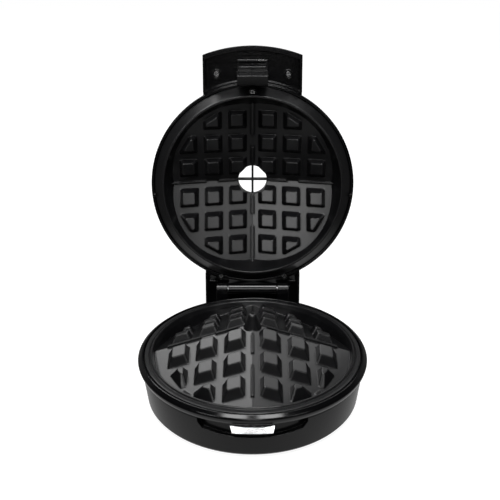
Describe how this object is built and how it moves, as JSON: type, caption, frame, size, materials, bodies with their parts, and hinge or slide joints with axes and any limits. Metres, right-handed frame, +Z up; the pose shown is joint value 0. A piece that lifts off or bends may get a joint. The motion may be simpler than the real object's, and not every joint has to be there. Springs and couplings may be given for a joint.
{
  "type": "waffle maker",
  "caption": "Round black waffle maker shown open, with two domed knobbed non-stick plates, a hinged lid with a hollow handle, a batter funnel and a sprung front latch.",
  "frame": {"origin": "on the table under the middle of the open part's footprint", "axes": "+Z up, +Y towards the hinge at the back, +X to the right as seen from the front"},
  "size_m": [0.2158, 0.2997, 0.3094],
  "materials": {
    "housing_black": "moulded black heat-resistant plastic, softly glossy",
    "trim_black": "satin moulded black plastic",
    "nonstick_coating": "dark grey non-stick coating on cast aluminium, satin",
    "bare_steel": "plain plated steel",
    "bright_chrome": "polished",
    "foot_rubber": "matt black",
    "wire_sleeve": "woven glass-fibre sleeve",
    "ceramic_white": "white ceramic",
    "lens_red": "clear red",
    "lens_green": "clear green",
    "lamp_glass": "clear"
  },
  "bodies": {
    "base": {"lower_plate": "nonstick_coating", "base_ring": "trim_black", "base_housing": "housing_black", "bottom_cover": "housing_black", "base_screws": "bare_steel", "rubber_feet": "foot_rubber", "lower_reflector": "bare_steel", "lower_heater": "bare_steel", "thermostat": "bare_steel", "thermal_fuse": "wire_sleeve", "terminal_block": "ceramic_white", "cord_gland": "foot_rubber", "base_wires": "wire_sleeve", "latch_catch": "bright_chrome", "catch_screws": "bare_steel", "hinge_pin": "bare_steel"},
    "lid": {"lid_bezel": "trim_black", "lid_shell": "housing_black", "upper_plate": "nonstick_coating", "pour_funnel": "housing_black", "batter_divider": "nonstick_coating", "upper_heater": "bare_steel", "upper_reflector": "bare_steel", "upper_plate_screws": "bare_steel", "handle_screws": "bare_steel", "hinge_screws": "bare_steel", "flange_screw": "bare_steel", "power_lens": "lens_red", "ready_lens": "lens_green", "indicator_lamps": "lamp_glass", "lid_wires": "wire_sleeve", "latch_pin": "bare_steel", "latch_spring": "bare_steel"},
    "latch": {"latch_hook": "trim_black"}
  },
  "joints": [
    {"name": "lid_hinge", "type": "hinge", "parent": "base", "child": "lid", "pos_m": [0, 0.07334, 0.0527], "axis": [1, 0, 0], "range_deg": [0, 97.7]},
    {"name": "latch_pivot", "type": "hinge", "parent": "lid", "child": "latch", "pos_m": [0, 0.11879, 0.29328], "axis": [1, 0, 0], "range_deg": [-14, 0], "stiffness_Nm_per_rad": 0.05, "springref_deg": 11.46}
  ]
}
